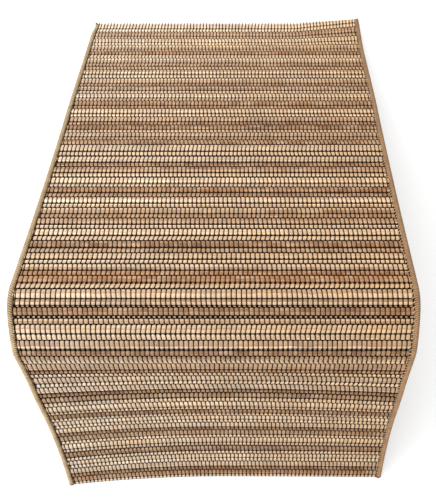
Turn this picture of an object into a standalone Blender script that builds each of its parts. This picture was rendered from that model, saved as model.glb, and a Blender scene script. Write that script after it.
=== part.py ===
"""A woven straw mat that stands by itself, bent over a rounded ridge into a long and a short panel.

Metres, +Z up. X runs along the straw rows and +Y points to the far edge. The mat rests on the floor on its
far edge and on its near edge, and the origin is on the floor under the middle of its bounding box.
"""
import math
from collections import namedtuple

import bmesh
import bpy
import numpy as np

# Driving sizes
MAT_WIDTH = 0.450
THICK_ROW = 0.0115
THIN_ROW = 0.0078
THICK_CREST = 0.0023
THIN_CREST = 0.0018
VALLEY = 0.0010
PRESSED = 0.0011
FIT_GAP = 0.0003

# The rows of straw from the far edge to the near edge: T is a thick row and t a thin one
RowGroup = namedtuple("RowGroup", "pattern repeats")
ROW_GROUPS = (
    RowGroup("Tt", 6),
    RowGroup("t", 1),
    RowGroup("Tt", 9),
    RowGroup("T", 1),
    RowGroup("Tt", 19),
    RowGroup("t", 1),
    RowGroup("Tt", 13),
)
ROWS_BEFORE_CREASE = 66

# The bend between the two panels, from the back panel to the front panel
SHOULDER_LENGTH = 0.030
BROW_LENGTH = 0.051
CREASE_LENGTH = 0.003
FRONT_STRAIGHT_PART = 0.4

# The sewn binding is a channel that holds each side edge of the mat
BINDING_WIDTH = 0.0060
BINDING_WALL = 0.0012
BINDING_CREST = 0.0026
BINDING_ARC_STEPS = 6

# How far the panel edges are out of true
LEFT_FLARE = 0.0069
LEFT_FLARE_AT_FOOT = 0.0117
RIGHT_FLARE = 0.0073
RIGHT_FLARE_AT_FOOT = 0.0013
FLARE_RAMP = 0.098
FOOT_SHIFT = 0.0046
FRONT_DRAW_IN = 0.0096
FRONT_DRAW_REACH = 0.070
FAR_DRAW_IN = 0.0188
FAR_DRAW_REACH = 0.222
CORNER_BOW = 0.0125
CORNER_BOW_REACH = 0.075
CORNER_BOW_START = 0.115

# Mesh density
ROW_TOP_FRACTIONS = (0.0, 0.2, 0.5, 0.8)
ROW_UNDER_FRACTIONS = (0.0, 0.5)
INNER_COLUMNS = (-CORNER_BOW_START, 0.0, CORNER_BOW_START)
RIM_TAPER = 0.0040
RIM_MARGIN = 0.0005
PROFILE_STEP = 0.0002

HALF_WIDTH = MAT_WIDTH / 2
RIM = HALF_WIDTH - BINDING_WIDTH
MAT_EDGE = HALF_WIDTH - BINDING_WALL - FIT_GAP

ROW_PATTERN = "".join(group.pattern * group.repeats for group in ROW_GROUPS)
ROW_LENGTHS = [THICK_ROW if kind == "T" else THIN_ROW for kind in ROW_PATTERN]
ROW_CRESTS = [THICK_CREST if kind == "T" else THIN_CREST for kind in ROW_PATTERN]
ROW_STARTS = np.concatenate([[0.0], np.cumsum(ROW_LENGTHS)])
MAT_LENGTH = float(ROW_STARTS[-1])
CREASE_AT = float(ROW_STARTS[ROWS_BEFORE_CREASE])
BACK_LENGTH = CREASE_AT - CREASE_LENGTH / 2 - BROW_LENGTH - SHOULDER_LENGTH - CORNER_BOW_REACH
FRONT_LENGTH = MAT_LENGTH - CREASE_AT - CREASE_LENGTH / 2

# The side view as stretches whose slope turns evenly, in degrees above level, and the binding's spans on each
Section = namedtuple("Section", "name length start_slope end_slope spans")
SECTIONS = (
    Section("far end", CORNER_BOW_REACH, 26.4, 27.4, 12),
    Section("back panel", BACK_LENGTH, 27.4, 33.2, 12),
    Section("shoulder", SHOULDER_LENGTH, 33.2, -21.0, 10),
    Section("brow", BROW_LENGTH, -21.0, -43.0, 7),
    Section("crease", CREASE_LENGTH, -43.0, -61.5, 4),
    Section("front panel", FRONT_LENGTH * FRONT_STRAIGHT_PART, -61.5, -61.5, 10),
    Section("foot", FRONT_LENGTH * (1.0 - FRONT_STRAIGHT_PART), -61.5, -48.5, 14),
)

Material = namedtuple("Material", "name colour roughness")
STRAW = Material("straw", (0.72, 0.55, 0.36, 1.0), 0.60)
LEFT_TAPE = Material("binding_olive", (0.48, 0.36, 0.19, 1.0), 0.80)
RIGHT_TAPE = Material("binding_tan", (0.43, 0.28, 0.15, 1.0), 0.80)


def smooth_step(value):
    """Rise from 0 to 1 with level ends, for a value from 0 to 1."""
    value = min(max(value, 0.0), 1.0)
    return value * value * (3.0 - 2.0 * value)


def section_ends():
    """The distance along the mat at which each section starts, and the mat's end."""
    return np.concatenate([[0.0], np.cumsum([section.length for section in SECTIONS])])


class SideView:
    """The middle line of the sheet, seen from the side, as a smooth curve along the mat's length."""

    def __init__(self):
        starts = section_ends()
        self.distance = np.linspace(0.0, MAT_LENGTH, round(MAT_LENGTH / PROFILE_STEP) + 1)
        slope = np.empty_like(self.distance)
        for start, section in zip(starts, SECTIONS):
            inside = self.distance >= start - PROFILE_STEP / 2
            turned = (self.distance[inside] - start) / section.length
            slope[inside] = section.start_slope + turned * (section.end_slope - section.start_slope)
        slope = np.radians(slope)
        step = MAT_LENGTH / (len(self.distance) - 1)
        middle = (slope[1:] + slope[:-1]) / 2
        reach = np.concatenate([[0.0], np.cumsum(np.cos(middle))]) * step
        height = np.concatenate([[0.0], np.cumsum(np.sin(middle))]) * step
        tilt = math.atan2(height[-1], reach[-1])
        self.slope = slope - tilt
        self.reach = reach * math.cos(tilt) + height * math.sin(tilt)
        self.height = height * math.cos(tilt) - reach * math.sin(tilt)

    def at(self, distance):
        """Reach from the far edge, height and slope at a distance along the mat."""
        return tuple(
            float(np.interp(distance, self.distance, values))
            for values in (self.reach, self.height, self.slope)
        )


SIDE_VIEW = SideView()
BASE_LENGTH = SIDE_VIEW.at(MAT_LENGTH)[0]


def front_flare(x, distance):
    """How far the front panel leans towards -Y near its side edges."""
    if x < 0.0:
        upper, foot = LEFT_FLARE, LEFT_FLARE_AT_FOOT
    else:
        upper, foot = RIGHT_FLARE, RIGHT_FLARE_AT_FOOT
    past_crease = distance - CREASE_AT
    down = past_crease / (MAT_LENGTH - CREASE_AT)
    lean = upper + (foot - upper) * smooth_step(down)
    return lean * smooth_step(past_crease / FLARE_RAMP) * (x / HALF_WIDTH) ** 2


def corner_bow(x, distance):
    """How far the far edge bows towards +Y at its right corner."""
    across = max(x - CORNER_BOW_START, 0.0) / (HALF_WIDTH - CORNER_BOW_START)
    return CORNER_BOW * across * (1.0 - smooth_step(distance / CORNER_BOW_REACH))


def side_shift(x, distance):
    """How far a point moves across the mat: the ends are drawn in, and the front panel's foot is off to +X."""
    past_crease = max(distance - CREASE_AT, 0.0)
    far_draw = FAR_DRAW_IN * (1.0 - smooth_step(distance / FAR_DRAW_REACH))
    front_draw = FRONT_DRAW_IN * smooth_step(past_crease / FRONT_DRAW_REACH)
    return FOOT_SHIFT * past_crease / (MAT_LENGTH - CREASE_AT) - x * (far_draw + front_draw)


def surface_point(x, distance, offset):
    """A point off the sheet's middle surface, with the first and last points cut level with the floor."""
    reach, height, slope = SIDE_VIEW.at(distance)
    reach -= math.sin(slope) * offset
    height += math.cos(slope) * offset
    if distance in (0.0, MAT_LENGTH):
        reach -= height / math.tan(slope)
        height = 0.0
    y = BASE_LENGTH / 2 - reach - front_flare(x, distance) + corner_bow(x, distance)
    return (x + side_shift(x, distance), y, height)


def row_stations(fractions):
    """Distances along the mat and half thicknesses there, for points at given fractions of each row."""
    stations = []
    for start, length, crest in zip(ROW_STARTS, ROW_LENGTHS, ROW_CRESTS):
        for fraction in fractions:
            rise = math.sqrt(math.sin(math.pi * fraction))
            stations.append((float(start) + fraction * length, VALLEY + (crest - VALLEY) * rise))
    stations.append((MAT_LENGTH, VALLEY))
    return stations


def mat_columns():
    """Distances across the mat, each with whether the straw is pressed flat there by the binding."""
    side = [(MAT_EDGE, True), (RIM - RIM_MARGIN, True), (RIM - RIM_TAPER, False)]
    left = [(-x, pressed) for x, pressed in side]
    inner = [(x, False) for x in INNER_COLUMNS]
    return left + inner + side[::-1]


def grid_points(mesh, columns, stations, side):
    """The points of one face of the sheet, a list for each column."""
    grid = []
    for x, pressed in columns:
        line = []
        for distance, half in stations:
            offset = side * (min(half, PRESSED) if pressed else half)
            line.append(mesh.verts.new(surface_point(x, distance, offset)))
        grid.append(line)
    return grid


def add_grid_faces(mesh, grid):
    """Four-sided faces between neighbouring columns of points."""
    for column, following in zip(grid, grid[1:]):
        for index in range(len(column) - 1):
            corners = (column[index], column[index + 1], following[index + 1], following[index])
            mesh.faces.new(corners)


def add_edge_wall(mesh, top, under):
    """The cut edge of the sheet along one side, one face for each row."""
    top_per_row = len(ROW_TOP_FRACTIONS)
    under_per_row = len(ROW_UNDER_FRACTIONS)
    for row in range(len(ROW_PATTERN)):
        upper = top[row * top_per_row:(row + 1) * top_per_row + 1]
        lower = under[row * under_per_row:(row + 1) * under_per_row + 1]
        mesh.faces.new(upper + lower[::-1])


def add_end_wall(mesh, top, under, index):
    """The cut end of the sheet that lies on the floor."""
    for column in range(len(top) - 1):
        corners = (top[column][index], top[column + 1][index], under[column + 1][index], under[column][index])
        mesh.faces.new(corners)


def make_material(material):
    """A Principled material with one colour and roughness."""
    made = bpy.data.materials.new(material.name)
    made.use_nodes = True
    shader = made.node_tree.nodes["Principled BSDF"]
    shader.inputs["Base Color"].default_value = material.colour
    shader.inputs["Roughness"].default_value = material.roughness
    shader.inputs["Metallic"].default_value = 0.0
    return made


def make_object(name, mesh, material):
    """An object in the scene from a finished bmesh, with its faces pointing out."""
    bmesh.ops.recalc_face_normals(mesh, faces=mesh.faces)
    data = bpy.data.meshes.new(name)
    mesh.to_mesh(data)
    mesh.free()
    data.materials.append(make_material(material))
    made = bpy.data.objects.new(name, data)
    bpy.context.scene.collection.objects.link(made)
    return made


def make_mat():
    """The one-piece woven sheet, with a rib for each row of straw on both faces."""
    mesh = bmesh.new()
    columns = mat_columns()
    top = grid_points(mesh, columns, row_stations(ROW_TOP_FRACTIONS), 1.0)
    under = grid_points(mesh, columns, row_stations(ROW_UNDER_FRACTIONS), -1.0)
    add_grid_faces(mesh, top)
    add_grid_faces(mesh, under)
    for column in (0, -1):
        add_edge_wall(mesh, top[column], under[column])
    for index in (0, -1):
        add_end_wall(mesh, top, under, index)
    return make_object("mat", mesh, STRAW)


def binding_outline():
    """The binding's cross-section: distance in from its outer side, and offset from the middle surface."""
    outline = []
    for step in range(BINDING_ARC_STEPS + 1):
        angle = math.pi * step / BINDING_ARC_STEPS
        depth = BINDING_WIDTH * (1.0 - math.sin(angle)) / 2
        outline.append((depth, BINDING_CREST * math.cos(angle)))
    slot = PRESSED + FIT_GAP
    outline.append((BINDING_WIDTH, -BINDING_CREST + BINDING_WALL / 2))
    outline.append((BINDING_WIDTH, -slot))
    outline.append((BINDING_WALL, -slot))
    outline.append((BINDING_WALL, slot))
    outline.append((BINDING_WIDTH, slot))
    outline.append((BINDING_WIDTH, BINDING_CREST - BINDING_WALL / 2))
    return outline


def binding_stations():
    """Distances along the mat at which the binding's cross-section is placed."""
    stations = []
    for start, section in zip(section_ends(), SECTIONS):
        for span in range(section.spans):
            stations.append(float(start) + section.length * span / section.spans)
    stations.append(MAT_LENGTH)
    return stations


def make_binding(name, side, material):
    """The channel of sewn binding along one side edge, on the side -1 for left or 1 for right."""
    mesh = bmesh.new()
    rings = []
    for distance in binding_stations():
        ring = [
            mesh.verts.new(surface_point(side * (HALF_WIDTH - depth), distance, offset))
            for depth, offset in binding_outline()
        ]
        rings.append(ring)
    for ring, following in zip(rings, rings[1:]):
        for index in range(len(ring)):
            corners = (ring[index], ring[index - 1], following[index - 1], following[index])
            mesh.faces.new(corners)
    mesh.faces.new(rings[0])
    mesh.faces.new(rings[-1])
    return make_object(name, mesh, material)


def centre_on_origin(objects):
    """Move the points along X and Y so that the origin is under the middle of the bounding box."""
    points = [vertex.co for made in objects for vertex in made.data.vertices]
    for axis in (0, 1):
        places = [point[axis] for point in points]
        shift = (min(places) + max(places)) / 2
        for point in points:
            point[axis] -= shift


def main():
    """Build the mat and its two bindings in an empty scene."""
    for old in list(bpy.data.objects):
        bpy.data.objects.remove(old)
    objects = [
        make_mat(),
        make_binding("binding_left", -1.0, LEFT_TAPE),
        make_binding("binding_right", 1.0, RIGHT_TAPE),
    ]
    centre_on_origin(objects)


main()
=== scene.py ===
"""The looks of the bent straw mat: its straw rows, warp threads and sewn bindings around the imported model.

Metres, +Z up. X runs along the straw rows and +Y points to the far edge, as in the model.
"""
import math
from collections import namedtuple

import bpy
import numpy as np

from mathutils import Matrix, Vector


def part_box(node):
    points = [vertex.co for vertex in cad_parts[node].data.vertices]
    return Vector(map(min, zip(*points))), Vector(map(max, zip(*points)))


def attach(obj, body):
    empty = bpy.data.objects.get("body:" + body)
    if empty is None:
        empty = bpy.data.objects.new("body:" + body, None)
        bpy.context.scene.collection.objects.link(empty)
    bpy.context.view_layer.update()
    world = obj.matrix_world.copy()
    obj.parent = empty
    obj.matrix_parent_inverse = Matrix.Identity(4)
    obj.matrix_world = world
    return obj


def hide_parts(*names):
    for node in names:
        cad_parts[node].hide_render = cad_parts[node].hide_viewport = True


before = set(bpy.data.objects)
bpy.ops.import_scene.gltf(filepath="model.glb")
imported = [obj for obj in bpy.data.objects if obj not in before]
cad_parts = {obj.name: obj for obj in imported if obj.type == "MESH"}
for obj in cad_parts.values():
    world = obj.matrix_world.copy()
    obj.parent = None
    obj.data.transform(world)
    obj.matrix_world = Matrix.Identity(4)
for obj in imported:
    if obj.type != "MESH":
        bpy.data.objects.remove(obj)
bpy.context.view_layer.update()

# Sizes shared with the model
MAT_WIDTH = 0.450
THICK_ROW = 0.0115
THIN_ROW = 0.0078
THICK_CREST = 0.0023
THIN_CREST = 0.0018
VALLEY = 0.0010
BINDING_WIDTH = 0.0060
BINDING_WALL = 0.0012
BINDING_CREST = 0.0026
FIT_GAP = 0.0003
SHOULDER_LENGTH = 0.030
BROW_LENGTH = 0.051
CREASE_LENGTH = 0.003
FRONT_STRAIGHT_PART = 0.4
LEFT_FLARE = 0.0069
LEFT_FLARE_AT_FOOT = 0.0117
RIGHT_FLARE = 0.0073
RIGHT_FLARE_AT_FOOT = 0.0013
FLARE_RAMP = 0.098
FOOT_SHIFT = 0.0046
FRONT_DRAW_IN = 0.0096
FRONT_DRAW_REACH = 0.070
FAR_DRAW_IN = 0.0188
FAR_DRAW_REACH = 0.222
CORNER_BOW = 0.0125
CORNER_BOW_REACH = 0.075
CORNER_BOW_START = 0.115
PROFILE_STEP = 0.0002

# The far left corner is drawn in a little more than the model's
CORNER_DRAW_IN = 0.0034
CORNER_DRAW_REACH = 0.030

# The first row reaches past the far edge, less and less from here towards the right corner
PAST_END_FADE_START = 0.115
PAST_END_FADE = 0.115

# The rows from the far edge to the near edge, a word for each pair that is woven together. T is a thick row
# and t a thin one, and the letters give the straw at the row's upper and lower side
Rows = namedtuple("Rows", "pattern upper lower")
ROW_GROUPS = (
    Rows("Tt Tt Tt Tt Tt Tt", "CY KT CC YT BP CT", "CW TT YY TT RP TB"),
    Rows("t", "T", "T"),
    Rows("Tt Tt Tt Tt Tt Tt Tt Tt Tt", "TT PT TP PP KK PT TD DB TT", "CY TB KP YT BB YC TB BP TK"),
    Rows("T", "K", "B"),
    Rows("Tt Tt Tt Tt Tt Tt Tt Tt Tt", "PY PD RG YT BB PC GK KY YY", "PP PK TY CP RK CT KK TT YP"),
    Rows("Tt Tt Tt Tt Tt Tt Tt Tt Tt Tt", "RT GC PR RG TK DG GY TB KC TR", "DK GP KB RG YP KT CW WT YW TK"),
    Rows("t", "C", "P"),
    Rows("Tt Tt Tt Tt Tt Tt Tt", "PW PD KC CY BY CW YD", "GW CK DY GK DC YC CB"),
    Rows("Tt Tt Tt Tt Tt Tt", "KC CP KC CW PD RC", "TC CT DP CW YD TT"),
)
ROWS_BEFORE_CREASE = 66

# How far rows lie from even spacing towards the near edge, because some were beaten closer together than
# others. The first row reaches past the model's far edge
RowShift = namedtuple("RowShift", "row shift")
ROW_SHIFTS = (
    RowShift(0, -0.0045),
    RowShift(1, -0.0028),
    RowShift(3, -0.0004),
    RowShift(7, -0.0026),
    RowShift(9, -0.0070),
    RowShift(12, -0.0018),
    RowShift(14, -0.0014),
    RowShift(16, 0.0029),
    RowShift(22, -0.0003),
    RowShift(27, -0.0012),
    RowShift(32, -0.0077),
    RowShift(33, -0.0045),
    RowShift(35, -0.0009),
    RowShift(39, 0.0026),
    RowShift(41, 0.0012),
    RowShift(44, 0.0021),
    RowShift(48, 0.0009),
    RowShift(52, 0.0027),
    RowShift(55, -0.0003),
    RowShift(58, -0.0005),
    RowShift(60, 0.0),
    RowShift(62, 0.0007),
    RowShift(64, 0.0006),
    RowShift(66, 0.0033),
    RowShift(68, -0.0003),
    RowShift(69, 0.0018),
    RowShift(71, -0.0003),
    RowShift(73, -0.0005),
    RowShift(76, 0.0018),
    RowShift(78, 0.0070),
    RowShift(82, 0.0009),
    RowShift(87, 0.0003),
    RowShift(91, 0.0025),
    RowShift(92, 0.0004),
    RowShift(95, 0.0021),
    RowShift(97, 0.0),
)

# Straw colours as they show in full light, in sRGB from 0 to 255
STRAW_COLOURS = {
    "W": (250, 228, 199),
    "C": (240, 215, 183),
    "Y": (230, 204, 170),
    "G": (213, 184, 149),
    "P": (215, 190, 161),
    "T": (195, 163, 132),
    "K": (174, 138, 104),
    "R": (169, 122, 82),
    "B": (157, 118, 85),
    "D": (143, 106, 77),
}
PALE_STRAW = (224, 198, 164)
# Painted shade: the straw grows darker and warmer towards the mat's right side, as if lit from the left
RIGHT_PAINTED_SHADE = np.array([0.05, 0.13, 0.24])
FULL_LIGHT = 1.2

# The weave: a warp thread crosses two rows above the straw and the next two below it, and leans a little
CELLS = 80
LEAN_PER_PAIR = 0.08
GROOVE_FLOOR = 0.52
DRIFT = 0.0008
DRIFT_KNOTS = 9
DRIFT_RIM_POWER = 12
SEED = 11

# A row of straw: where the seam between its two strands lies, and how much its height and colour vary. Its
# last cells keep a margin from the ends, in pitches, and its ends are narrower
SEAM_RANGE = (0.44, 0.68)
CREST_SPREAD = 0.06
ROW_MARGIN = 0.05
ROW_END_WIDTH = 0.86
COLOUR_KNOTS = 12
LIGHT_SPREAD = 0.08
WARM_SPREAD = 0.05
WARM_RED_PART = 0.4

# The outline of a straw bundle, as places across it from -1 to 1 and heights from -1 to 1
BUNDLE_ACROSS = np.array([-1.0, -0.80, -0.28, 0.28, 0.80, 1.0, 0.62, -0.62])
BUNDLE_HEIGHT = np.array([0.05, 0.80, 1.0, 1.0, 0.80, 0.05, -0.88, -0.88])

# Places along one cell from one crossing to the next, with how deep each face is drawn in there
CellStation = namedtuple("CellStation", "along top_draw under_draw width")
CELL_STATIONS = (
    CellStation(0.00, 1.00, 0.00, 0.82),
    CellStation(0.16, 0.16, 0.20, 0.97),
    CellStation(0.50, 0.00, 1.00, 1.00),
    CellStation(0.84, 0.16, 0.20, 0.97),
)

# A warp thread: how deep it settles on the straw, in its own half thicknesses, where it rises and sinks
# along a row, how much wider it is in some places, its loop at the far edge, and its margin in pitches
WARP_HALF_WIDTH = 0.00094
WARP_HALF_THICKNESS = 0.00045
WARP_SIDES = 4
WARP_SETTLING = 0.7
RISE_AT = 0.20
SINK_AT_IN_PAIR = 0.78
SINK_AT_ALONE = 0.80
IN_PAIR_LEVEL = 0.85
IN_PAIR_WIDENING = 1.5
BETWEEN_WIDENING = 1.3
FRONT_WIDENING = 1.12
LOOP_WIDENING = 0.7
LOOP_REACH = 0.0006
LOOP_LEVEL = 0.0012
WARP_MARGIN = 0.2

# How two rows meet in special places: the row below the meeting, the gap, the straw that fills it, where
# the knot lies, in pitches to the right of the thread above, how much the knot leans, and half its width
Meeting = namedtuple("Meeting", "row gap filler knot_at lean knot_half")
SPECIAL_MEETINGS = (
    Meeting(15, 0.0021, "", 0.21, 0.42, 0.0010),
    Meeting(17, 0.0017, "", 0.21, 0.42, 0.0008),
    Meeting(25, 0.0019, "", 0.21, 0.42, 0.0007),
    Meeting(28, 0.0009, "", None, 0.0, 0.0),
    Meeting(34, 0.0027, "", 0.21, 0.42, 0.0012),
    Meeting(38, 0.0024, "", 0.21, 0.42, 0.0011),
    Meeting(39, 0.0014, "", None, 0.0, 0.0),
    Meeting(45, 0.0013, "", None, 0.0, 0.0),
    Meeting(55, 0.0012, "", None, 0.0, 0.0),
    Meeting(56, 0.0011, "", 0.21, 0.42, 0.0007),
    Meeting(57, 0.0028, "K", -0.05, 0.20, 0.0012),
    Meeting(58, 0.0010, "", -0.10, 0.20, 0.0009),
    Meeting(59, 0.0001, "", 0.45, 0.30, 0.0004),
    Meeting(60, 0.0022, "T", 0.05, 0.10, 0.0012),
    Meeting(61, 0.0036, "T", -0.38, 0.10, 0.0018),
    Meeting(62, 0.0006, "", 0.42, 0.30, 0.0008),
    Meeting(63, 0.0006, "", -0.08, 0.05, 0.0013),
    Meeting(64, 0.0006, "", 0.40, 0.05, 0.0009),
    Meeting(65, 0.0028, "D", -0.05, 0.10, 0.0014),
    Meeting(66, 0.0018, "", 0.21, 0.42, 0.0015),
    Meeting(67, 0.0004, "", None, 0.0, 0.0),
    Meeting(68, 0.0006, "", 0.21, 0.42, 0.0004),
    Meeting(70, 0.0018, "", 0.21, 0.42, 0.0008),
    Meeting(74, 0.0019, "", 0.21, 0.42, 0.0008),
    Meeting(75, 0.0026, "", None, 0.0, 0.0),
    Meeting(76, 0.0021, "", 0.21, 0.42, 0.0008),
    Meeting(86, 0.0018, "", 0.21, 0.42, 0.0008),
    Meeting(89, 0.0021, "", None, 0.0, 0.0),
    Meeting(90, 0.0020, "", 0.21, 0.42, 0.0008),
)

# Everywhere else: the gaps from one row on, between two pairs and inside a pair, and the size of the knots
GapRange = namedtuple("GapRange", "first_row between inside knot_half")
GAP_RANGES = (
    GapRange(0, 0.0011, 0.0011, 0.0005),
    GapRange(13, 0.0014, 0.0015, 0.0006),
    GapRange(33, 0.0016, 0.0020, 0.0009),
    GapRange(67, 0.0013, 0.0017, 0.0006),
)
END_GAP = 0.0024
KNOT_AT = 0.21
KNOT_LEAN = 0.42
KNOT_HALF_LENGTH = 0.27
KNOT_RISE = 0.0020
KNOT_LEVEL = 0.0011
KNOT_THICKNESS = 0.0006
KNOT_MARGIN = 0.4
FILLER_GAP_PART = 0.30
FILLER_LEVEL = 0.0004
FILLER_THICKNESS = 0.0006
FILLER_SWELL = (0.85, 1.10)
FILLER_SIDES = 6

# A knot's outline, as places along it from -1 to 1 with how thick it is there
KNOT_RINGS = np.array([(-1.0, 0.45), (-0.4, 1.0), (0.4, 1.0), (1.0, 0.45)])

# The straw sinks towards the bindings, where a dark thread and the binding's stitches hold it
EDGE_SINK = 0.55
EDGE_SINK_REACH = 0.0035
EDGE_THREAD_THICKNESS = 0.0006
EDGE_THREAD_LEVEL = 0.0014
EDGE_THREAD_STEP = 0.0018
EDGE_THREAD_PINCH = 0.7
STITCH_STEP = 0.0050
STITCH_RADIUS = 0.00038

# A stitch, as places from the binding's inner edge, above the mat's middle surface and along the mat
StitchStation = namedtuple("StitchStation", "inward height along")
STITCH_STATIONS = (
    StitchStation(-0.0010, 0.0025, -0.0009),
    StitchStation(0.0006, 0.0025, 0.0),
    StitchStation(0.0022, 0.0014, 0.0009),
)

# One turn of binding yarn, as places along it from one groove to the next with how proud the yarn stands
TurnStation = namedtuple("TurnStation", "along proud")
TURN_STATIONS = (
    TurnStation(0.00, 0.0),
    TurnStation(0.25, 0.8),
    TurnStation(0.50, 1.0),
    TurnStation(0.75, 0.8),
)
BINDING_SIDES = 10
DARK_END_LENGTH = 0.005

# The yarn grows brighter over this length above the crease, and stays so on the front panel
FRONT_YARN_REACH = 0.080
FRONT_YARN_GLOW = 1.38

# Threads and yarns with their colours in sRGB from 0 to 255
Thread = namedtuple("Thread", "name colour roughness")
WARP_THREAD = Thread("warp_thread", (50, 29, 12), 0.9)
# The knots are the crossing threads drawn much darker than the warp thread, as painted shade of the holes
# where they dive
SHADED_WARP_KNOT = Thread("warp_knot", (23, 14, 8), 0.9)
CORE_SHADOW = Thread("core_shadow", (19, 11, 6), 0.9)
OLIVE_STITCH = Thread("stitch_olive", (120, 94, 64), 0.8)
CREAM_STITCH = Thread("stitch_cream", (226, 204, 168), 0.7)
# A yarn's groove colour is painted shade in the grooves between its turns
Yarn = namedtuple("Yarn", "name colour groove_colour")
OLIVE_YARN = Yarn("binding_olive", (180, 156, 122), (70, 54, 36))
TAN_YARN = Yarn("binding_tan", (165, 128, 93), (80, 60, 40))

# The long edges: how far the yarn reaches over the straw, the dark thread, how the yarn is wound, how deep
# the grooves between its turns are, how much painted shade darkens its outer side, and its yarn and stitches
Edge = namedtuple("Edge", "name side overlap thread_half turn_length slant depth outer_shade yarn stitch")
LEFT_EDGE = Edge("left", -1.0, 0.0006, 0.0009, 0.0027, 0.0016, 0.30, 0.0, OLIVE_YARN, OLIVE_STITCH)
RIGHT_EDGE = Edge("right", 1.0, 0.0012, 0.0005, 0.0024, 0.0014, 0.22, 0.60, TAN_YARN, CREAM_STITCH)

# The look of the straw: how often it changes per cell or row, how far from the middle of a row or a cell the
# painted highlight on its rims and the painted shade at its crossings begin and end, and the brightness that
# each change spans
SEAM_TINT = (0.84, 0.69, 0.54)
SEAM_SOFTNESS = 0.05
SEAM_FADE = (0.02, 0.10)
SEAM_DEPTH = 0.6
WAVERS_PER_CELL = 0.23
WAVER = 0.08
STRAWS_PER_CELL = 0.11
STRAW_TINTS = (0.88, 1.08)
CELL_TINTS = (0.90, 1.06)
PALE_PLACES_PER_CELL = 0.16
PALE_PLACES_PER_STRAND = 1.4
PALE_PLACE_RANGE = (0.42, 0.72)
PALE_PLACE_MOST = 0.45
PALE_CELL_RANGE = (0.4, 1.0)
PALE_CELL_MOST = 0.30
PINK_TINT = (0.95, 0.87, 0.82)
STREAKS_PER_CELL = 0.35
STREAKS_PER_ROW_WIDTH = 9.0
STREAK_SHIFT_PER_ROW = 7.3
STREAK_SCALE = 1.6
STREAK_TINTS = (0.84, 1.08)
# Painted highlight along both long edges of each row
ROW_EDGE_HIGHLIGHT_RANGE = (0.26, 0.42)
ROW_EDGE_PAINTED_HIGHLIGHT = 1.10
# Painted shade where the warp threads pinch the straw at each crossing
CROSSING_SHADE_RANGE = (0.31, 0.42)
CROSSING_SHADE_TINT = (0.20, 0.115, 0.06)

# Layers of the random values, so that the waver, the cells and the patches differ from each other
WAVER_LAYER = 5.0
CELL_LAYER = 3.0
PATCH_LAYER = 9.0

# The look of threads and yarn: patches and grain in counts per metre
THREAD_PATCH_SCALE = 260.0
THREAD_DARK_PART = 0.55
THREAD_GRAIN_SCALE = 1500.0
YARN_PATCH_SCALE = 90.0
YARN_PATCH_TINTS = (0.80, 1.12)
# Over this range of the ridge value, the painted shade in the yarn's grooves fades out
YARN_GROOVE_SHADE_RANGE = (0.1, 0.9)
YARN_GRAIN_SCALE = 2200.0
GRAIN_DEPTH = 0.0003
STRAW_RELIEF_DEPTH = 0.0004

# Ranges that noise seldom leaves
NOISE_RANGE = (0.3, 0.7)
WIDE_NOISE_RANGE = (0.25, 0.75)

# The Mix node's sockets for colours
MIX_FIRST = 6
MIX_SECOND = 7
MIX_RESULT = 2

# The studio and the photograph's view
FLOOR_HALF = 6.0
FLOOR_COLOUR = (0.97, 0.97, 0.97, 1.0)
WORLD_COLOUR = (1.0, 1.0, 1.0, 1.0)
WORLD_STRENGTH = 1.12
AreaLight = namedtuple("AreaLight", "name location size power")
AREA_LIGHTS = (
    AreaLight("key", (-1.0, 0.12, 1.1), 1.0, 11.5),
    AreaLight("fill", (0.0, 1.3, 1.7), 1.8, 10.0),
)
CAMERA_AT = (0.0371, -0.2430, 0.9933)
CAMERA_TILT = 12.31
CAMERA_LENS = 47.52
CAMERA_SHIFT = -0.0619

# The straw is made in a few meshes, and the core is a thin sheet inside the weave, near black as painted
# shade
ROWS_PER_PIECE = 25
CORE_HALF = 0.0004
CORE_STATIONS = 420
CORE_COLUMNS = 13

# Half the mat's width, the inner side of the bindings, the straw's ends and the space between two threads
HALF_WIDTH = MAT_WIDTH / 2
RIM = HALF_WIDTH - BINDING_WIDTH
STRAW_EDGE = HALF_WIDTH - BINDING_WALL - FIT_GAP
PITCH = 2 * RIM / CELLS

# What each row is and where it starts along the mat, with even spacing and as beaten
PAIRS = [pair for group in ROW_GROUPS for pair in group.pattern.split()]
ROW_KINDS = "".join(PAIRS)
ROW_UPPER = "".join(group.upper for group in ROW_GROUPS).replace(" ", "")
ROW_LOWER = "".join(group.lower for group in ROW_GROUPS).replace(" ", "")
ROW_PAIR = [index for index, pair in enumerate(PAIRS) for _ in pair]
ROW_COUNT = len(ROW_KINDS)
EVEN_STARTS = np.cumsum([0.0] + [THICK_ROW if kind == "T" else THIN_ROW for kind in ROW_KINDS])
ROW_STARTS = EVEN_STARTS + np.interp(np.arange(ROW_COUNT + 1), *np.transpose(ROW_SHIFTS))
ROW_LENGTHS = np.diff(ROW_STARTS)
MAT_LENGTH = float(EVEN_STARTS[-1])
CREASE_AT = float(EVEN_STARTS[ROWS_BEFORE_CREASE])
BACK_LENGTH = CREASE_AT - CREASE_LENGTH / 2 - BROW_LENGTH - SHOULDER_LENGTH - CORNER_BOW_REACH
FRONT_LENGTH = MAT_LENGTH - CREASE_AT - CREASE_LENGTH / 2

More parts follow.
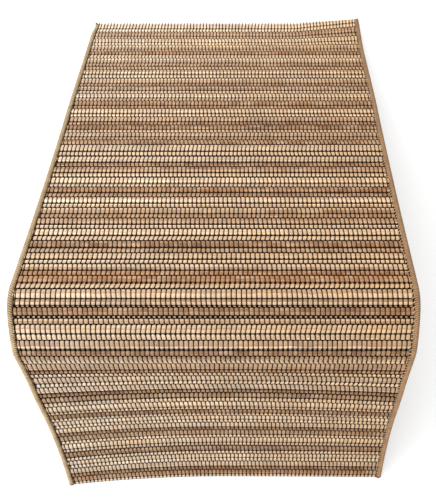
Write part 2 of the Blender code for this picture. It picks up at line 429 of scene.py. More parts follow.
# The bend from the far edge to the near edge, as lengths along the mat with the slopes at their ends, in
# degrees
Section = namedtuple("Section", "name length start_slope end_slope")
SECTIONS = (
    Section("far end", CORNER_BOW_REACH, 26.4, 27.4),
    Section("back panel", BACK_LENGTH, 27.4, 33.2),
    Section("shoulder", SHOULDER_LENGTH, 33.2, -21.0),
    Section("brow", BROW_LENGTH, -21.0, -43.0),
    Section("crease", CREASE_LENGTH, -43.0, -61.5),
    Section("front panel", FRONT_LENGTH * FRONT_STRAIGHT_PART, -61.5, -61.5),
    Section("foot", FRONT_LENGTH * (1.0 - FRONT_STRAIGHT_PART), -61.5, -48.5),
)


def smooth_step(value):
    """Rise from 0 to 1 with level ends, for values from 0 to 1."""
    value = np.clip(value, 0.0, 1.0)
    return value * value * (3.0 - 2.0 * value)


def linear_colour(srgb):
    """A colour of the sRGB scale from 0 to 255 as linear values."""
    value = np.asarray(srgb, dtype=float) / 255.0
    return np.where(value <= 0.04045, value / 12.92, ((value + 0.055) / 1.055) ** 2.4)


class Sheet:
    """The bent middle surface of the mat, on which every thread and straw is placed."""

    def __init__(self):
        starts = np.concatenate([[0.0], np.cumsum([section.length for section in SECTIONS])])
        self.distance = np.linspace(0.0, MAT_LENGTH, round(MAT_LENGTH / PROFILE_STEP) + 1)
        slope = np.empty_like(self.distance)
        for start, section in zip(starts, SECTIONS):
            inside = self.distance >= start - PROFILE_STEP / 2
            turned = (self.distance[inside] - start) / section.length
            slope[inside] = section.start_slope + turned * (section.end_slope - section.start_slope)
        slope = np.radians(slope)
        step = MAT_LENGTH / (len(self.distance) - 1)
        middle = (slope[1:] + slope[:-1]) / 2
        reach = np.concatenate([[0.0], np.cumsum(np.cos(middle))]) * step
        height = np.concatenate([[0.0], np.cumsum(np.sin(middle))]) * step
        tilt = math.atan2(height[-1], reach[-1])
        self.slope = slope - tilt
        self.reach = reach * math.cos(tilt) + height * math.sin(tilt)
        self.height = height * math.cos(tilt) - reach * math.sin(tilt)
        self.middle_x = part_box("mat")[0].x + STRAW_EDGE
        self.far_y = 0.0
        far_corner = self.place(np.array([STRAW_EDGE]), np.array([0.0]), np.array([VALLEY]))[0]
        end_cut = VALLEY * math.cos(self.slope[0]) / math.tan(self.slope[0])
        self.far_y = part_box("mat")[1].y - (far_corner[1] + end_cut)

    def place(self, x, distance, offset):
        """World points for distances across and along the mat and offsets from its middle surface."""
        x, distance, offset = np.broadcast_arrays(x, distance, offset)
        past_end = np.minimum(distance, 0.0) * (1.0 - smooth_step((x - PAST_END_FADE_START) / PAST_END_FADE))
        reach = np.interp(distance, self.distance, self.reach) + past_end
        height = np.interp(distance, self.distance, self.height)
        slope = np.interp(distance, self.distance, self.slope)
        y = self.far_y - reach + np.sin(slope) * offset - front_flare(x, distance) + corner_bow(x, distance)
        z = np.maximum(height + np.cos(slope) * offset, 0.0)
        return np.stack([self.middle_x + x + side_shift(x, distance), y, z], axis=-1)


def front_flare(x, distance):
    """How far the front panel leans towards -Y near its side edges."""
    upper = np.where(x < 0.0, LEFT_FLARE, RIGHT_FLARE)
    foot = np.where(x < 0.0, LEFT_FLARE_AT_FOOT, RIGHT_FLARE_AT_FOOT)
    past_crease = distance - CREASE_AT
    lean = upper + (foot - upper) * smooth_step(past_crease / (MAT_LENGTH - CREASE_AT))
    return lean * smooth_step(past_crease / FLARE_RAMP) * (x / HALF_WIDTH) ** 2


def corner_bow(x, distance):
    """How far the far edge bows towards +Y at its right corner."""
    across = np.maximum(x - CORNER_BOW_START, 0.0) / (HALF_WIDTH - CORNER_BOW_START)
    return CORNER_BOW * across * (1.0 - smooth_step(distance / CORNER_BOW_REACH))


def side_shift(x, distance):
    """How far a point moves across the mat, whose ends are drawn in and whose foot is off to +X."""
    past_crease = np.maximum(distance - CREASE_AT, 0.0)
    far_draw = FAR_DRAW_IN * (1.0 - smooth_step(distance / FAR_DRAW_REACH))
    front_draw = FRONT_DRAW_IN * smooth_step(past_crease / FRONT_DRAW_REACH)
    at_left = np.maximum(-x / HALF_WIDTH, 0.0) ** 2
    corner_draw = CORNER_DRAW_IN * at_left * (1.0 - smooth_step(distance / CORNER_DRAW_REACH))
    drawn_in = corner_draw - x * (far_draw + front_draw)
    return drawn_in + FOOT_SHIFT * past_crease / (MAT_LENGTH - CREASE_AT)


class Drift:
    """How far the weave wanders sideways, which slants the cells of each row a little."""

    def __init__(self):
        random = np.random.default_rng(SEED)
        self.knots = random.uniform(-DRIFT, DRIFT, (ROW_COUNT + 1, DRIFT_KNOTS))
        self.knots += random.uniform(-DRIFT, DRIFT, (ROW_COUNT + 1, 1))

    def at(self, x, distance):
        """The drift at places across and along the mat, which fades out at its side edges."""
        row = np.interp(distance, ROW_STARTS, np.arange(ROW_COUNT + 1))
        column = (np.clip(x / HALF_WIDTH, -1.0, 1.0) + 1.0) / 2 * (DRIFT_KNOTS - 1)
        row_low = np.minimum(row.astype(int), ROW_COUNT - 1)
        column_low = np.minimum(column.astype(int), DRIFT_KNOTS - 2)
        row_part = row - row_low
        column_part = column - column_low
        near = self.knots[row_low, column_low] * (1 - column_part)
        near += self.knots[row_low, column_low + 1] * column_part
        far = self.knots[row_low + 1, column_low] * (1 - column_part)
        far += self.knots[row_low + 1, column_low + 1] * column_part
        inside_rim = 1.0 - np.minimum(np.abs(x) / HALF_WIDTH, 1.0) ** DRIFT_RIM_POWER
        return (near * (1 - row_part) + far * row_part) * inside_rim


SHEET = Sheet()
WANDER = Drift()


def all_meetings():
    """How each row meets the one above it, from the far edge to the near edge, and the two outer edges."""
    meetings = []
    for row in range(ROW_COUNT + 1):
        at_end = row in (0, ROW_COUNT)
        in_pair = not at_end and ROW_PAIR[row] == ROW_PAIR[row - 1]
        gap_range = [gaps for gaps in GAP_RANGES if gaps.first_row <= row][-1]
        gap = gap_range.inside if in_pair else gap_range.between
        knot_at = None if in_pair else KNOT_AT
        if at_end:
            gap = END_GAP
            knot_at = None
        meetings.append(Meeting(row, gap, "", knot_at, KNOT_LEAN, gap_range.knot_half))
    for meeting in SPECIAL_MEETINGS:
        meetings[meeting.row] = meeting
    return meetings


MEETINGS = all_meetings()


def pair_phase(pair):
    """Where a pair's threads lie, in pitches from the left rim, without whole pitches."""
    return (pair / 2 - LEAN_PER_PAIR * pair) % 1.0


class MeshParts:
    """Collects tubes into one mesh with named values at its points."""

    def __init__(self):
        self.points = []
        self.quads = []
        self.ends = []
        self.values = {}
        self.count = 0

    def add_tube(self, points, values):
        """Add a closed tube from points in rings, an array of rings by sides by 3."""
        rings, sides, _ = points.shape
        index = np.arange(rings * sides).reshape(rings, sides) + self.count
        turned = np.roll(index, -1, axis=1)
        quads = np.stack([index[:-1], turned[:-1], turned[1:], index[1:]], axis=-1)
        self.quads.append(quads.reshape(-1, 4))
        self.ends.append(index[0][::-1])
        self.ends.append(index[-1])
        self.points.append(points.reshape(-1, 3))
        for name, value in values.items():
            width = value.shape[-1]
            full = np.broadcast_to(value, (rings, sides, width)).reshape(-1, width)
            self.values.setdefault(name, []).append(full)
        self.count += rings * sides

    def make(self, name, material):
        """Build the object, shaded smooth, with its values as attributes."""
        points = np.concatenate(self.points).astype(np.float32)
        quads = np.concatenate(self.quads).astype(np.int32)
        loops = np.concatenate([quads.ravel()] + self.ends).astype(np.int32)
        sizes = np.concatenate([np.full(len(quads), 4), [len(end) for end in self.ends]]).astype(np.int32)
        starts = np.concatenate([[0], np.cumsum(sizes)[:-1]]).astype(np.int32)
        mesh = bpy.data.meshes.new(name)
        mesh.vertices.add(len(points))
        mesh.vertices.foreach_set("co", points.ravel())
        mesh.loops.add(len(loops))
        mesh.loops.foreach_set("vertex_index", loops)
        mesh.polygons.add(len(sizes))
        mesh.polygons.foreach_set("loop_start", starts)
        mesh.polygons.foreach_set("loop_total", sizes)
        mesh.update(calc_edges=True)
        mesh.validate()
        mesh.polygons.foreach_set("use_smooth", np.ones(len(sizes), dtype=bool))
        for value_name, parts in self.values.items():
            value = np.concatenate(parts).astype(np.float32)
            add_attribute(mesh, value_name, value)
        mesh.materials.append(material)
        made = bpy.data.objects.new(name, mesh)
        bpy.context.scene.collection.objects.link(made)
        return made


def add_attribute(mesh, name, value):
    """Store a value at each point of a mesh, as a number, a vector or a colour."""
    width = value.shape[-1]
    kind, field = {1: ("FLOAT", "value"), 3: ("FLOAT_VECTOR", "vector"), 4: ("FLOAT_COLOR", "color")}[width]
    attribute = mesh.attributes.new(name, kind, "POINT")
    attribute.data.foreach_set(field, value.ravel())


def row_stations(phase):
    """The stations along a whole row: place across the mat, draws and width, for threads at one phase."""
    stations = []
    for cell in range(-1, CELLS + 1):
        for station in CELL_STATIONS:
            x = -RIM + (cell + station.along + phase) * PITCH
            if abs(x) < STRAW_EDGE - PITCH * ROW_MARGIN:
                stations.append((x, station.top_draw, station.under_draw, station.width))
    left_end = (-STRAW_EDGE, 0.0, 0.0, ROW_END_WIDTH)
    right_end = (STRAW_EDGE, 0.0, 0.0, ROW_END_WIDTH)
    return np.array([left_end, *stations, right_end])


def edge_sink(x):
    """How much of its height the straw keeps, less towards the bindings."""
    return 1.0 - EDGE_SINK * (1.0 - smooth_step((RIM - np.abs(x)) / EDGE_SINK_REACH))


def straw_colour(letter, random, x):
    """The colour along a row, which drifts a little as one straw follows another, with painted shade
    darkening it towards the right.
    """
    base = linear_colour(STRAW_COLOURS[letter]) / FULL_LIGHT
    knots = np.linspace(-HALF_WIDTH, HALF_WIDTH, COLOUR_KNOTS)
    light = np.interp(x, knots, random.normal(1.0, LIGHT_SPREAD, COLOUR_KNOTS))
    warm = np.interp(x, knots, random.normal(0.0, WARM_SPREAD, COLOUR_KNOTS))
    tint = np.stack([1.0 + warm * WARM_RED_PART, np.ones_like(x), 1.0 - warm], axis=-1)
    # Painted shade towards the right side of the mat
    shade = 1.0 - RIGHT_PAINTED_SHADE * x[:, None] / HALF_WIDTH
    colour = np.clip(base * light[:, None] * tint * shade, 0.0, 1.0)
    return np.concatenate([colour, np.ones((len(x), 1))], axis=-1)


def add_row(parts, row, random):
    """Add one row of straw as a bundle that the warp pinches into cells."""
    phase = pair_phase(ROW_PAIR[row])
    stations = row_stations(phase)
    x, top_draw, under_draw, width = (column[:, None] for column in stations.T)
    start = ROW_STARTS[row] + MEETINGS[row].gap / 2
    end = ROW_STARTS[row + 1] - MEETINGS[row + 1].gap / 2
    crest = THICK_CREST if ROW_KINDS[row] == "T" else THIN_CREST
    change = random.uniform(-CREST_SPREAD, CREST_SPREAD, (len(stations), 1)) * (top_draw < 1.0)
    crest = crest * edge_sink(x) * (1.0 + change)
    distance = (start + end) / 2 + (end - start) / 2 * width * BUNDLE_ACROSS
    draw = np.where(BUNDLE_HEIGHT > 0, top_draw, under_draw) * (1.0 - GROOVE_FLOOR)
    offset = crest * BUNDLE_HEIGHT * (1.0 - draw)
    across = np.broadcast_to(x, distance.shape)
    points = SHEET.place(across + WANDER.at(across, distance), distance, offset)
    cell = (across + RIM) / PITCH - phase
    side = np.broadcast_to((BUNDLE_ACROSS + 1.0) / 2, distance.shape)
    seam = random.uniform(*SEAM_RANGE)
    values = {
        "upper": straw_colour(ROW_UPPER[row], random, stations[:, 0])[:, None, :],
        "lower": straw_colour(ROW_LOWER[row], random, stations[:, 0])[:, None, :],
        "weave": np.stack([cell, side, np.full_like(cell, row)], axis=-1),
        "seam": np.full((1, 1, 1), seam),
    }
    parts.add_tube(points, values)


def add_filler(parts, meeting, random):
    """Add the straw strand that shows in the open gap above a row."""
    phase = pair_phase(ROW_PAIR[meeting.row - 1]) + meeting.knot_at
    turn = np.arange(FILLER_SIDES) * 2 * np.pi / FILLER_SIDES
    x = np.linspace(-RIM, RIM, 2 * CELLS + 1)[:, None]
    swell = random.uniform(*FILLER_SWELL, x.shape)
    distance = ROW_STARTS[meeting.row] + np.cos(turn) * meeting.gap * FILLER_GAP_PART * swell
    offset = FILLER_LEVEL + np.sin(turn) * FILLER_THICKNESS * swell
    across = np.broadcast_to(x, distance.shape)
    cell = (across + RIM) / PITCH - phase
    side = np.broadcast_to((np.cos(turn) + 1.0) / 2, distance.shape)
    colour = straw_colour(meeting.filler, random, x[:, 0])[:, None, :]
    values = {
        "upper": colour,
        "lower": colour,
        "weave": np.stack([cell, side, np.full_like(cell, meeting.row + 0.5)], axis=-1),
        "seam": np.full((1, 1, 1), 0.0),
    }
    parts.add_tube(SHEET.place(across, distance, offset), values)


def warp_path(parity):
    """The thread's way along the mat: distance, offset, how much it widens, and the lean in pitches."""
    path = [(ROW_STARTS[0] - LOOP_REACH, LOOP_LEVEL, LOOP_WIDENING, 0.0)] if parity == 0 else []
    row = 0
    for index, pair in enumerate(PAIRS):
        side = 1.0 if index % 2 == parity else -1.0
        lean = -LEAN_PER_PAIR * index
        for place, kind in enumerate(pair):
            start, length = ROW_STARTS[row], ROW_LENGTHS[row]
            crest = THICK_CREST if kind == "T" else THIN_CREST
            level = crest * GROOVE_FLOOR + WARP_HALF_THICKNESS * WARP_SETTLING
            if place == 0:
                path.append((start, 0.0, LOOP_WIDENING if row == 0 else BETWEEN_WIDENING, lean))
                path.append((start + length * RISE_AT, side * level, 1.0, lean))
                if len(pair) == 1:
                    path.append((start + length * SINK_AT_ALONE, side * level, 1.0, lean))
            else:
                dips = MEETINGS[row].filler != ""
                path.append((start, 0.0 if dips else side * level * IN_PAIR_LEVEL, IN_PAIR_WIDENING, lean))
                path.append((start + length * SINK_AT_IN_PAIR, side * level, 1.0, lean))
            row += 1
    path.append((MAT_LENGTH, 0.0, LOOP_WIDENING, lean))
    return np.array(path)


def add_warp(parts, start_x, path):
    """Add one warp thread along the part of the mat where it lies between the bindings."""
    path = path[np.abs(start_x + path[:, 3] * PITCH) < RIM - PITCH * WARP_MARGIN]
    if len(path) < 2:
        return
    distance, offset, widening, lean = (column[:, None] for column in path.T)
    turn = np.arange(WARP_SIDES) * 2 * np.pi / WARP_SIDES
    on_front = np.where(distance > CREASE_AT, FRONT_WIDENING, 1.0)
    sideways = np.cos(turn) * WARP_HALF_WIDTH * widening * on_front
    upward = np.sin(turn) * WARP_HALF_THICKNESS * widening
    along = np.broadcast_to(distance, sideways.shape)
    across = np.broadcast_to(start_x + lean * PITCH, sideways.shape)
    sink = edge_sink(across)
    points = SHEET.place(across + WANDER.at(across, along) + sideways, along, offset * sink + upward)
    parts.add_tube(points, {})


def add_knots(parts, meeting):
    """Add the row of knots where the threads pass from one pair of rows to the next, near black as painted
    shade of the holes there.
    """
    phase = pair_phase(ROW_PAIR[meeting.row - 1]) + meeting.knot_at
    along, thick = KNOT_RINGS[:, :1], KNOT_RINGS[:, 1:]
    turn = np.arange(WARP_SIDES) * 2 * np.pi / WARP_SIDES
    middle = ROW_STARTS[meeting.row]
    for cell in range(-1, CELLS + 1):
        x = -RIM + (cell + phase) * PITCH
        if abs(x) > RIM - PITCH * KNOT_MARGIN:
            continue
        across = np.broadcast_to(x + along * PITCH * KNOT_HALF_LENGTH, (len(along), WARP_SIDES))
        distance = middle + along * KNOT_RISE * meeting.lean + np.cos(turn) * meeting.knot_half * thick
        offset = KNOT_LEVEL + np.sin(turn) * KNOT_THICKNESS * thick
        points = SHEET.place(across + WANDER.at(across, np.full_like(distance, middle)), distance, offset)
        parts.add_tube(points[:, ::-1], {})


def node(tree, kind, **settings):
    """Add a shader node with its settings."""
    made = tree.nodes.new(kind)
    for name, value in settings.items():
        setattr(made, name, value)
    return made


def feed(tree, socket, value):
    """Set a socket to a number or a colour, or link another socket to it."""
    if isinstance(value, bpy.types.NodeSocket):
        tree.links.new(value, socket)
    else:
        socket.default_value = value


def math_node(tree, operation, *values):
    """The outcome of a Math node fed by sockets or numbers."""
    made = node(tree, "ShaderNodeMath", operation=operation)
    for socket, value in zip(made.inputs, values):
        feed(tree, socket, value)
    return made.outputs[0]


def range_node(tree, value, low, high, to_low=0.0, to_high=1.0, smooth=True):
    """Map a socket's value from one range to another, smoothly and clamped."""
    made = node(tree, "ShaderNodeMapRange", interpolation_type="SMOOTHSTEP" if smooth else "LINEAR")
    tree.links.new(value, made.inputs["Value"])
    made.inputs["From Min"].default_value = low
    made.inputs["From Max"].default_value = high
    made.inputs["To Min"].default_value = to_low
    made.inputs["To Max"].default_value = to_high
    return made.outputs["Result"]


def attribute_node(tree, name):
    """Read a value stored at the mesh's points."""
    return node(tree, "ShaderNodeAttribute", attribute_name=name)


def combine_node(tree, *values):
    """A vector from three sockets or numbers."""
    made = node(tree, "ShaderNodeCombineXYZ")
    for socket, value in zip(made.inputs, values):
        feed(tree, socket, value)
    return made.outputs[0]


def noise_node(tree, vector, scale, detail=2.0):
    """Noise over a vector."""
    made = node(tree, "ShaderNodeTexNoise")
    tree.links.new(vector, made.inputs["Vector"])
    made.inputs["Scale"].default_value = scale
    made.inputs["Detail"].default_value = detail
    return made.outputs["Fac"]


def speckle_node(tree, vector):
    """One random value for each whole step of a vector."""
    made = node(tree, "ShaderNodeTexWhiteNoise", noise_dimensions="3D")
    tree.links.new(vector, made.inputs["Vector"])
    return made.outputs["Value"]


def scale_colour(tree, colour, factor):
    """Multiply a colour by a number socket."""
    made = node(tree, "ShaderNodeVectorMath", operation="SCALE")
    tree.links.new(colour, made.inputs[0])
    tree.links.new(factor, made.inputs["Scale"])
    return made.outputs[0]


def mix_colour(tree, factor, first, second, blend_type="MIX"):
    """Mix two colours, or multiply them, by a factor socket."""
    made = node(tree, "ShaderNodeMix", data_type="RGBA", blend_type=blend_type)
    tree.links.new(factor, made.inputs["Factor"])
    feed(tree, made.inputs[MIX_FIRST], first)
    feed(tree, made.inputs[MIX_SECOND], second)
    return made.outputs[MIX_RESULT]


def tint_colour(tree, colour, factor, tint):
    """Multiply a colour by a tint as far as a factor socket says."""
    return mix_colour(tree, factor, colour, (*tint, 1.0), "MULTIPLY")


def shader_colour(srgb, part=1.0):
    """A colour of the sRGB scale from 0 to 255, or a part of its light, for a colour socket."""
    return (*(linear_colour(srgb) * part), 1.0)


def new_material(name, roughness, specular):
    """A material with a Principled shader, and its tree and shader."""
    material = bpy.data.materials.new(name)
    material.use_nodes = True
    shader = material.node_tree.nodes["Principled BSDF"]
    shader.inputs["Roughness"].default_value = roughness
    shader.inputs["Specular IOR Level"].default_value = specular
    return material, material.node_tree, shader


def add_bump(tree, shader, height, strength, distance):
    """Feed a bump from a height socket to the shader."""
    made = node(tree, "ShaderNodeBump")
    made.inputs["Strength"].default_value = strength
    made.inputs["Distance"].default_value = distance
    tree.links.new(height, made.inputs["Height"])
    tree.links.new(made.outputs["Normal"], shader.inputs["Normal"])


StrawPlace = namedtuple("StrawPlace", "cell cell_number side row past_seam strand")


def straw_place(tree):
    """Sockets for a place on the straw: its cell along the row, its place across it, its row and strand."""
    weave = node(tree, "ShaderNodeSeparateXYZ")
    tree.links.new(attribute_node(tree, "weave").outputs["Vector"], weave.inputs[0])
    cell, side, row = weave.outputs
    seam_at = attribute_node(tree, "seam").outputs["Fac"]
    waver_place = combine_node(tree, math_node(tree, "MULTIPLY", cell, WAVERS_PER_CELL), row, WAVER_LAYER)
    waver_noise = noise_node(tree, waver_place, scale=1.0)
    waver = range_node(tree, waver_noise, *NOISE_RANGE, -WAVER, WAVER, smooth=False)
    past_seam = math_node(tree, "ADD", math_node(tree, "SUBTRACT", side, seam_at), waver)
    strand = math_node(tree, "GREATER_THAN", past_seam, 0.0)
    return StrawPlace(cell, math_node(tree, "FLOOR", cell), side, row, past_seam, strand)


def strand_colours(tree, place):
    """The colours of a row's upper and lower strands."""
    lower_part = range_node(tree, place.past_seam, -SEAM_SOFTNESS, SEAM_SOFTNESS)
    upper = attribute_node(tree, "upper").outputs["Color"]
    lower = attribute_node(tree, "lower").outputs["Color"]
    return mix_colour(tree, lower_part, upper, lower)


def vary_straws(tree, colour, place):
    """Make single straws and single cells brighter or darker."""
    straw_number = math_node(tree, "FLOOR", math_node(tree, "MULTIPLY", place.cell, STRAWS_PER_CELL))
    straw_tint = speckle_node(tree, combine_node(tree, place.row, place.strand, straw_number))
    colour = scale_colour(tree, colour, range_node(tree, straw_tint, 0.0, 1.0, *STRAW_TINTS, smooth=False))
    cell_tint = speckle_node(tree, combine_node(tree, place.row, place.cell_number, CELL_LAYER))
    return scale_colour(tree, colour, range_node(tree, cell_tint, 0.0, 1.0, *CELL_TINTS, smooth=False))


def bleach_straws(tree, colour, place):
    """Add pale patches a few cells long, pale single cells and a pink tinge."""
    patch_layer = math_node(tree, "ADD", place.strand, PATCH_LAYER)
    patch_tint = speckle_node(tree, combine_node(tree, place.row, place.cell_number, patch_layer))
    along = math_node(tree, "MULTIPLY", place.cell, PALE_PLACES_PER_CELL)
    across = math_node(tree, "MULTIPLY", place.strand, PALE_PLACES_PER_STRAND)
    pale_noise = noise_node(tree, combine_node(tree, along, place.row, across), scale=1.0, detail=3.0)
    pale_patches = range_node(tree, pale_noise, *PALE_PLACE_RANGE, 0.0, PALE_PLACE_MOST)
    pale_cells = range_node(tree, patch_tint, *PALE_CELL_RANGE, 0.0, PALE_CELL_MOST)
    pale = math_node(tree, "ADD", pale_patches, pale_cells)
    colour = mix_colour(tree, pale, colour, shader_colour(PALE_STRAW, 1.0 / FULL_LIGHT))
    return tint_colour(tree, colour, patch_tint, PINK_TINT)


def straw_streaks(tree, place):
    """Noise drawn out into streaks along the straw."""
    along = math_node(tree, "MULTIPLY", place.cell, STREAKS_PER_CELL)
    across = math_node(tree, "MULTIPLY", place.side, STREAKS_PER_ROW_WIDTH)
    layer = math_node(tree, "MULTIPLY", place.row, STREAK_SHIFT_PER_ROW)
    return noise_node(tree, combine_node(tree, along, across, layer), scale=STREAK_SCALE, detail=3.0)


def straw_material():
    """Dried straw: strands side by side in a row, streaked along their length, with painted shade at the
    crossings and a painted highlight on the rims.
    """
    material, tree, shader = new_material("straw", roughness=0.50, specular=0.20)
    place = straw_place(tree)
    colour = strand_colours(tree, place)
    colour = vary_straws(tree, colour, place)
    colour = bleach_straws(tree, colour, place)
    streaks = straw_streaks(tree, place)
    colour = scale_colour(tree, colour, range_node(tree, streaks, *NOISE_RANGE, *STREAK_TINTS))

    from_middle = math_node(tree, "ABSOLUTE", math_node(tree, "SUBTRACT", place.side, 0.5))
    # Painted highlight along the row's edges
    colour = scale_colour(tree, colour, range_node(tree, from_middle, *ROW_EDGE_HIGHLIGHT_RANGE, 1.0, ROW_EDGE_PAINTED_HIGHLIGHT))
    from_seam = math_node(tree, "ABSOLUTE", place.past_seam)
    seam = range_node(tree, from_seam, *SEAM_FADE, 1.0, 0.0)
    colour = tint_colour(tree, colour, seam, SEAM_TINT)
    # Painted shade at each crossing of a warp thread
    across_cell = math_node(tree, "SUBTRACT", math_node(tree, "FRACT", place.cell), 0.5)
    crossing_shade = range_node(tree, math_node(tree, "ABSOLUTE", across_cell), *CROSSING_SHADE_RANGE)
    colour = tint_colour(tree, colour, crossing_shade, CROSSING_SHADE_TINT)
    tree.links.new(colour, shader.inputs["Base Color"])

    relief = math_node(tree, "SUBTRACT", streaks, math_node(tree, "MULTIPLY", seam, SEAM_DEPTH))
    add_bump(tree, shader, relief, strength=0.5, distance=STRAW_RELIEF_DEPTH)
    return material


def thread_material(thread):
    """Spun thread of one colour with lighter and darker stretches."""
    material, tree, shader = new_material(thread.name, thread.roughness, specular=0.05)
    place = node(tree, "ShaderNodeTexCoord").outputs["Object"]
    patches = noise_node(tree, place, THREAD_PATCH_SCALE, detail=3.0)
    dark = shader_colour(thread.colour, THREAD_DARK_PART)
    colour = mix_colour(tree, range_node(tree, patches, *NOISE_RANGE), dark, shader_colour(thread.colour))
    tree.links.new(colour, shader.inputs["Base Color"])
    grain = noise_node(tree, place, THREAD_GRAIN_SCALE)
    add_bump(tree, shader, grain, strength=0.4, distance=GRAIN_DEPTH)
    return material


def yarn_material(yarn):
    """Binding yarn, with painted shade in the grooves between its turns and on its outer side, and brighter
    on the front panel.
    """
    material, tree, shader = new_material(yarn.name, roughness=0.75, specular=0.2)
    ridge = attribute_node(tree, "ridge").outputs["Fac"]
    front = attribute_node(tree, "front").outputs["Fac"]
    place = node(tree, "ShaderNodeTexCoord").outputs["Object"]
    patches = noise_node(tree, place, YARN_PATCH_SCALE, detail=4.0)
    # Painted shade in the grooves between turns and on the yarn's outer side, carried by the ridge value
    proud = range_node(tree, ridge, *YARN_GROOVE_SHADE_RANGE)
    colour = mix_colour(tree, proud, shader_colour(yarn.groove_colour), shader_colour(yarn.colour))
    colour = scale_colour(tree, colour, range_node(tree, patches, *WIDE_NOISE_RANGE, *YARN_PATCH_TINTS))
    colour = scale_colour(tree, colour, range_node(tree, front, 0.0, 1.0, 1.0, FRONT_YARN_GLOW))
    tree.links.new(colour, shader.inputs["Base Color"])
    grain = noise_node(tree, place, YARN_GRAIN_SCALE)
    add_bump(tree, shader, grain, strength=0.35, distance=GRAIN_DEPTH)
    return material


def turn_stations(turns):
    """All stations along a yarn of so many turns: the place in turns and how proud the yarn stands."""
    stations = [(turn + station.along, station.proud) for turn in range(turns) for station in TURN_STATIONS]
    return np.array(stations + [(turns, 0.0)])


def make_binding(edge, material):
    """Wind yarn round one long edge, each turn a slanted ridge."""
    far_end = ROW_STARTS[0]
    turns = round(MAT_LENGTH / edge.turn_length)
    turn, proud = (column[:, None] for column in turn_stations(turns).T)
    angle = np.arange(BINDING_SIDES) * 2 * np.pi / BINDING_SIDES
    half_width = (BINDING_WIDTH + edge.overlap) / 2
    grow = 1.0 - edge.depth * (1.0 - proud)
    inward = np.cos(angle) * half_width * grow
    offset = np.sin(angle) * BINDING_CREST * grow
    lean = edge.slant * np.cos(angle) * np.where(np.sin(angle) < 0.0, -1.0, 1.0)
    distance = np.clip(far_end + turn / turns * (MAT_LENGTH - far_end) + lean, far_end, MAT_LENGTH)
    points = SHEET.place(edge.side * (HALF_WIDTH - half_width - inward), distance, offset)
    from_end = np.minimum(distance - far_end, MAT_LENGTH - distance)
    # Painted shade on the yarn's outer side and in its grooves; the ends are darker too
    outer_shade = edge.outer_shade * np.maximum(-np.cos(angle), 0.0)
    ridge = proud * (1.0 - outer_shade) * smooth_step(from_end / DARK_END_LENGTH)
    front = smooth_step((distance - CREASE_AT) / FRONT_YARN_REACH + 1.0)
    if edge.side < 0:
        points = points[:, ::-1]
        ridge = ridge[:, ::-1]
        front = front[:, ::-1]
    parts = MeshParts()
    parts.add_tube(points, {"ridge": ridge[..., None], "front": front[..., None]})
    return parts.make(f"yarn_{edge.name}", material)


def make_edge_threads(material):
    """The dark thread that runs between the straw and each binding, on both faces."""
    parts = MeshParts()
    distance = np.arange(ROW_STARTS[0], MAT_LENGTH - EDGE_THREAD_STEP, EDGE_THREAD_STEP)[:, None]
    swell = np.where(np.arange(len(distance)) % 2 == 0, 1.0, EDGE_THREAD_PINCH)[:, None]
    turn = np.arange(WARP_SIDES) * 2 * np.pi / WARP_SIDES
    for edge in (LEFT_EDGE, RIGHT_EDGE):
        middle = edge.side * (RIM - edge.overlap - edge.thread_half)
        for face in (-1.0, 1.0):
            across = middle + np.cos(turn) * edge.thread_half * swell
            offset = face * EDGE_THREAD_LEVEL + np.sin(turn) * EDGE_THREAD_THICKNESS * swell
            parts.add_tube(SHEET.place(across, distance, offset), {})
    return parts.make("edge_threads", material)


def make_stitches(edge, material):
    """The binding's stitches, each of which slants over its inner edge into the straw."""
    parts = MeshParts()
    turn = np.arange(WARP_SIDES) * 2 * np.pi / WARP_SIDES
    inward, height, along = (column[:, None] for column in np.transpose(STITCH_STATIONS))
    for step in range(1, int(MAT_LENGTH / STITCH_STEP)):
        distance = step * STITCH_STEP + along + np.cos(turn) * STITCH_RADIUS
        offset = height + np.sin(turn) * STITCH_RADIUS
        across = np.broadcast_to(edge.side * (RIM - edge.overlap - inward), distance.shape)
        points = SHEET.place(across, distance, offset)
        parts.add_tube(points[:, ::-1] if edge.side < 0 else points, {})
    return parts.make(f"stitches_{edge.name}", material)


def make_rows(material):
    """All rows of straw, in pieces of a few dozen rows."""
    pieces = []
    random = np.random.default_rng(SEED + 1)
    for first in range(0, ROW_COUNT, ROWS_PER_PIECE):
        parts = MeshParts()
        for row in range(first, min(first + ROWS_PER_PIECE, ROW_COUNT)):
            add_row(parts, row, random)
        pieces.append(parts.make(f"straw_rows_{len(pieces) + 1}", material))
    return pieces


def make_fillers(material):
    """The strands that show in the widest gaps."""
    parts = MeshParts()
    random = np.random.default_rng(SEED + 2)
    for meeting in SPECIAL_MEETINGS:
        if meeting.filler:
            add_filler(parts, meeting, random)
    return parts.make("straw_fillers", material)


def make_warp(material, knot_material):
    """Both sets of warp threads, half a pitch apart, and their knots."""
    pieces = []
    most_lean = math.ceil(LEAN_PER_PAIR * len(PAIRS))
    for parity, name in ((0, "warp_even"), (1, "warp_odd")):
        parts = MeshParts()
        path = warp_path(parity)
        for thread in range(CELLS + 1 + most_lean):
            add_warp(parts, -RIM + (thread + parity / 2) * PITCH, path)
        pieces.append(parts.make(name, material))
    parts = MeshParts()
    for meeting in MEETINGS:
        if meeting.knot_at is not None:
            add_knots(parts, meeting)
    pieces.append(parts.make("warp_knots", knot_material))
    return pieces


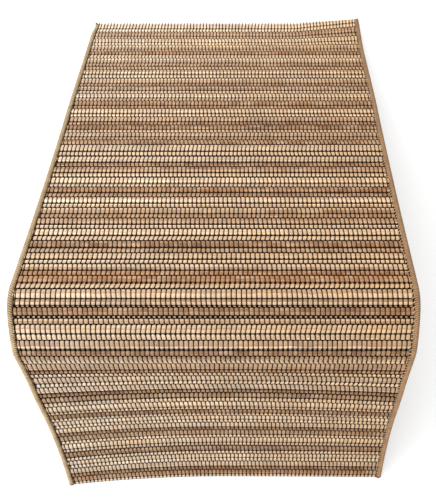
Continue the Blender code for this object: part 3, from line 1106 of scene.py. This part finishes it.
def make_core(material):
    """The inside of the weave, a thin sheet that shows through the gaps between rows, near black as painted
    shade of the hidden straw.
    """
    parts = MeshParts()
    distance = np.linspace(END_GAP / 2, MAT_LENGTH - END_GAP / 2, CORE_STATIONS)[:, None]
    columns = np.linspace(-STRAW_EDGE, STRAW_EDGE, CORE_COLUMNS)
    across = np.concatenate([columns, columns[::-1]])
    offset = np.concatenate([np.full(CORE_COLUMNS, CORE_HALF), np.full(CORE_COLUMNS, -CORE_HALF)])
    parts.add_tube(SHEET.place(across, distance, offset)[:, ::-1], {})
    return parts.make("core", material)


def make_stage():
    """A plain pale floor."""
    mesh = bpy.data.meshes.new("floor")
    corners = [(x * FLOOR_HALF, y * FLOOR_HALF, 0.0) for x, y in ((-1, -1), (1, -1), (1, 1), (-1, 1))]
    mesh.from_pydata(corners, [], [range(len(corners))])
    material, _, shader = new_material("floor", roughness=0.9, specular=0.0)
    shader.inputs["Base Color"].default_value = FLOOR_COLOUR
    mesh.materials.append(material)
    made = bpy.data.objects.new("floor", mesh)
    bpy.context.scene.collection.objects.link(made)


def make_lights():
    """Plain soft studio light, stronger from the left. The square lights face the mat."""
    world = bpy.data.worlds.new("studio")
    world.use_nodes = True
    backdrop = world.node_tree.nodes["Background"]
    backdrop.inputs["Color"].default_value = WORLD_COLOUR
    backdrop.inputs["Strength"].default_value = WORLD_STRENGTH
    bpy.context.scene.world = world
    for light in AREA_LIGHTS:
        lamp = bpy.data.lights.new(light.name, "AREA")
        lamp.size = light.size
        lamp.energy = light.power
        made = bpy.data.objects.new(light.name, lamp)
        bpy.context.scene.collection.objects.link(made)
        made.location = light.location
        made.rotation_euler = (-Vector(light.location)).to_track_quat("-Z", "Y").to_euler()


def make_camera():
    """The photograph's view, from above and in front of the ridge."""
    camera = bpy.data.cameras.new("camera")
    camera.lens = CAMERA_LENS
    camera.shift_x = CAMERA_SHIFT
    made = bpy.data.objects.new("camera", camera)
    bpy.context.scene.collection.objects.link(made)
    made.location = CAMERA_AT
    made.rotation_euler = (math.radians(CAMERA_TILT), 0.0, 0.0)
    bpy.context.scene.camera = made


def place_on(piece, model_node):
    """Let a piece ride with the model and stand for one of its nodes."""
    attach(piece, "root")
    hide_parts(model_node)


def main():
    """Build every piece of the mat and the studio round it."""
    straw = straw_material()
    thread = thread_material(WARP_THREAD)
    core = make_core(thread_material(CORE_SHADOW))
    woven = make_rows(straw)
    woven.append(make_fillers(straw))
    woven += make_warp(thread, thread_material(SHADED_WARP_KNOT))
    woven.append(make_edge_threads(thread))
    for piece in [core] + woven:
        place_on(piece, "mat")
    for edge in (LEFT_EDGE, RIGHT_EDGE):
        yarn = make_binding(edge, yarn_material(edge.yarn))
        stitches = make_stitches(edge, thread_material(edge.stitch))
        for piece in (yarn, stitches):
            place_on(piece, f"binding_{edge.name}")
    make_stage()
    make_lights()
    make_camera()
    bpy.context.scene.view_settings.view_transform = "Standard"


main()
